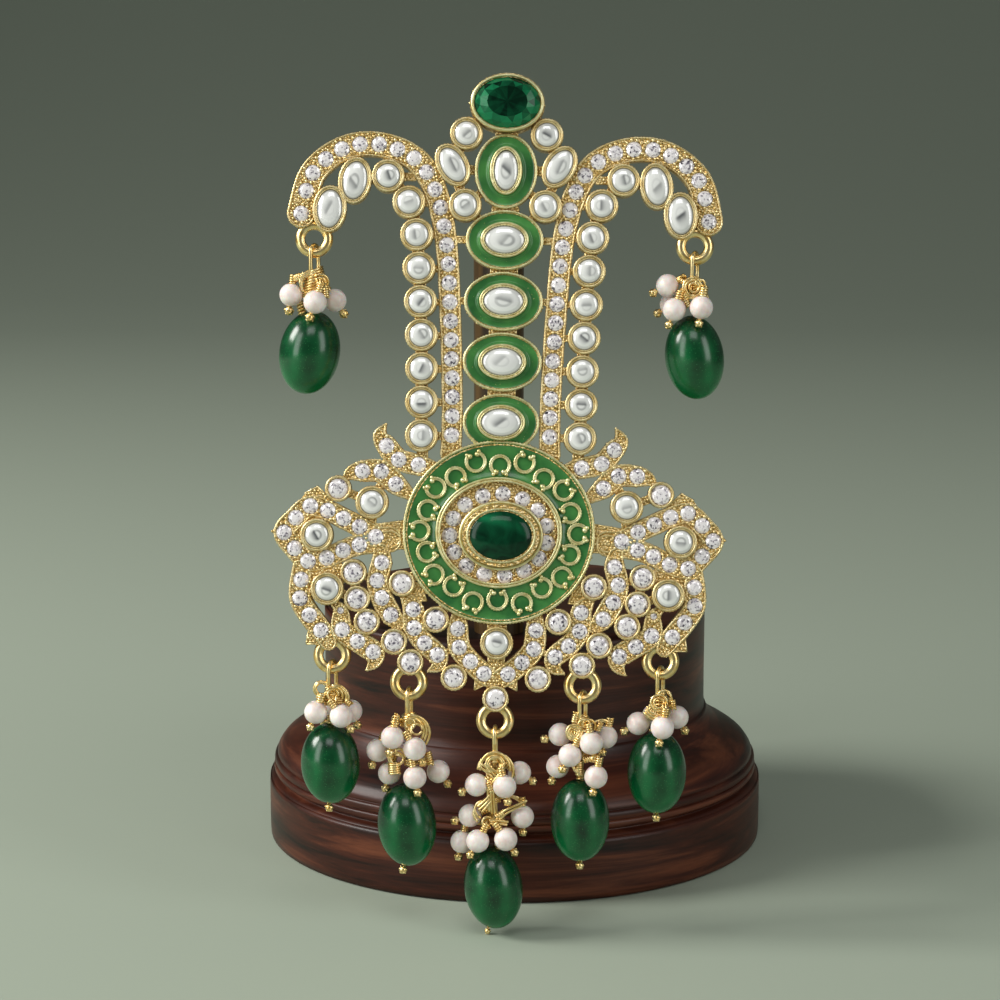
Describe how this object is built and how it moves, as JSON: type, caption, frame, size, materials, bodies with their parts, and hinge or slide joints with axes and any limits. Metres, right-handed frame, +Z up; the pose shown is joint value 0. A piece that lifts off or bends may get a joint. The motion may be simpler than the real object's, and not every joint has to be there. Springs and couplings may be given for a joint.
{
  "type": "turban ornament on a stand",
  "caption": "Pierced gold turban ornament with green enamel and set stones, jewelled drops that hang free, pinned to an upright post on a round turned wooden stand.",
  "frame": {"origin": "centre of the stand's round foot, on the table", "axes": "+Z up, the viewer and the ornament's front towards -Y, +X to the viewer's right"},
  "size_m": [0.094, 0.1143, 0.1441],
  "materials": {
    "turned_wood": "polished dark red-brown",
    "post_wood": "satin dark brown",
    "gold": "cast and grained gold",
    "enamel": "glossy green enamel",
    "green_stone": "cut and polished, dark green",
    "foil_stone": "cut, foil-backed, clear",
    "brilliant": "brilliant cut, clear",
    "pearl": "pearly lustre",
    "green_bead": "polished deep green"
  },
  "bodies": {
    "ornament_on_stand": {"stand_base": "turned_wood", "stand_post": "post_wood", "turban_pin": "gold", "casting": "gold", "enamel_rosette": "enamel", "enamel_ovals": "enamel", "crest_stone": "green_stone", "rosette_stone": "green_stone", "foil_stones_column": "foil_stone", "foil_stones_crown": "foil_stone", "foil_stones_left_arm": "foil_stone", "foil_stones_right_arm": "foil_stone", "foil_stones_wings": "foil_stone", "pave_left_arm": "brilliant", "pave_right_arm": "brilliant", "pave_rosette": "brilliant", "pave_left_wing": "brilliant", "pave_right_wing": "brilliant"},
    "drop_top_left": {"link_top_left": "gold", "wire_top_left": "gold", "pearls_top_left": "pearl", "bead_top_left": "green_bead"},
    "drop_top_right": {"link_top_right": "gold", "wire_top_right": "gold", "pearls_top_right": "pearl", "bead_top_right": "green_bead"},
    "drop_1": {"link_1": "gold", "wire_1": "gold", "pearls_1": "pearl", "bead_1": "green_bead"},
    "drop_2": {"link_2": "gold", "wire_2": "gold", "pearls_2": "pearl", "bead_2": "green_bead"},
    "drop_3": {"link_3": "gold", "wire_3": "gold", "pearls_3": "pearl", "bead_3": "green_bead"},
    "drop_4": {"link_4": "gold", "wire_4": "gold", "pearls_4": "pearl", "bead_4": "green_bead"},
    "drop_5": {"link_5": "gold", "wire_5": "gold", "pearls_5": "pearl", "bead_5": "green_bead"}
  },
  "joints": [
    {"name": "drop_top_left_swing", "type": "hinge", "parent": "ornament_on_stand", "child": "drop_top_left", "pos_m": [-0.03382, -0.04839, 0.11422], "axis": [-1, 0, 0], "range_deg": [-45, 60]},
    {"name": "drop_top_right_swing", "type": "hinge", "parent": "ornament_on_stand", "child": "drop_top_right", "pos_m": [0.02976, -0.04862, 0.11297], "axis": [-1, 0, 0], "range_deg": [-45, 60]},
    {"name": "drop_1_swing", "type": "hinge", "parent": "ornament_on_stand", "child": "drop_1", "pos_m": [-0.03082, -0.06046, 0.0458], "axis": [-1, 0, 0], "range_deg": [-15, 50]},
    {"name": "drop_2_swing", "type": "hinge", "parent": "ornament_on_stand", "child": "drop_2", "pos_m": [-0.018, -0.06125, 0.04132], "axis": [-1, 0, 0], "range_deg": [-15, 50]},
    {"name": "drop_3_swing", "type": "hinge", "parent": "ornament_on_stand", "child": "drop_3", "pos_m": [-0.00363, -0.06236, 0.03502], "axis": [-1, 0, 0], "range_deg": [-15, 50]},
    {"name": "drop_4_swing", "type": "hinge", "parent": "ornament_on_stand", "child": "drop_4", "pos_m": [0.01099, -0.06135, 0.04074], "axis": [-1, 0, 0], "range_deg": [-15, 50]},
    {"name": "drop_5_swing", "type": "hinge", "parent": "ornament_on_stand", "child": "drop_5", "pos_m": [0.02397, -0.06065, 0.04472], "axis": [-1, 0, 0], "range_deg": [-15, 50]}
  ]
}
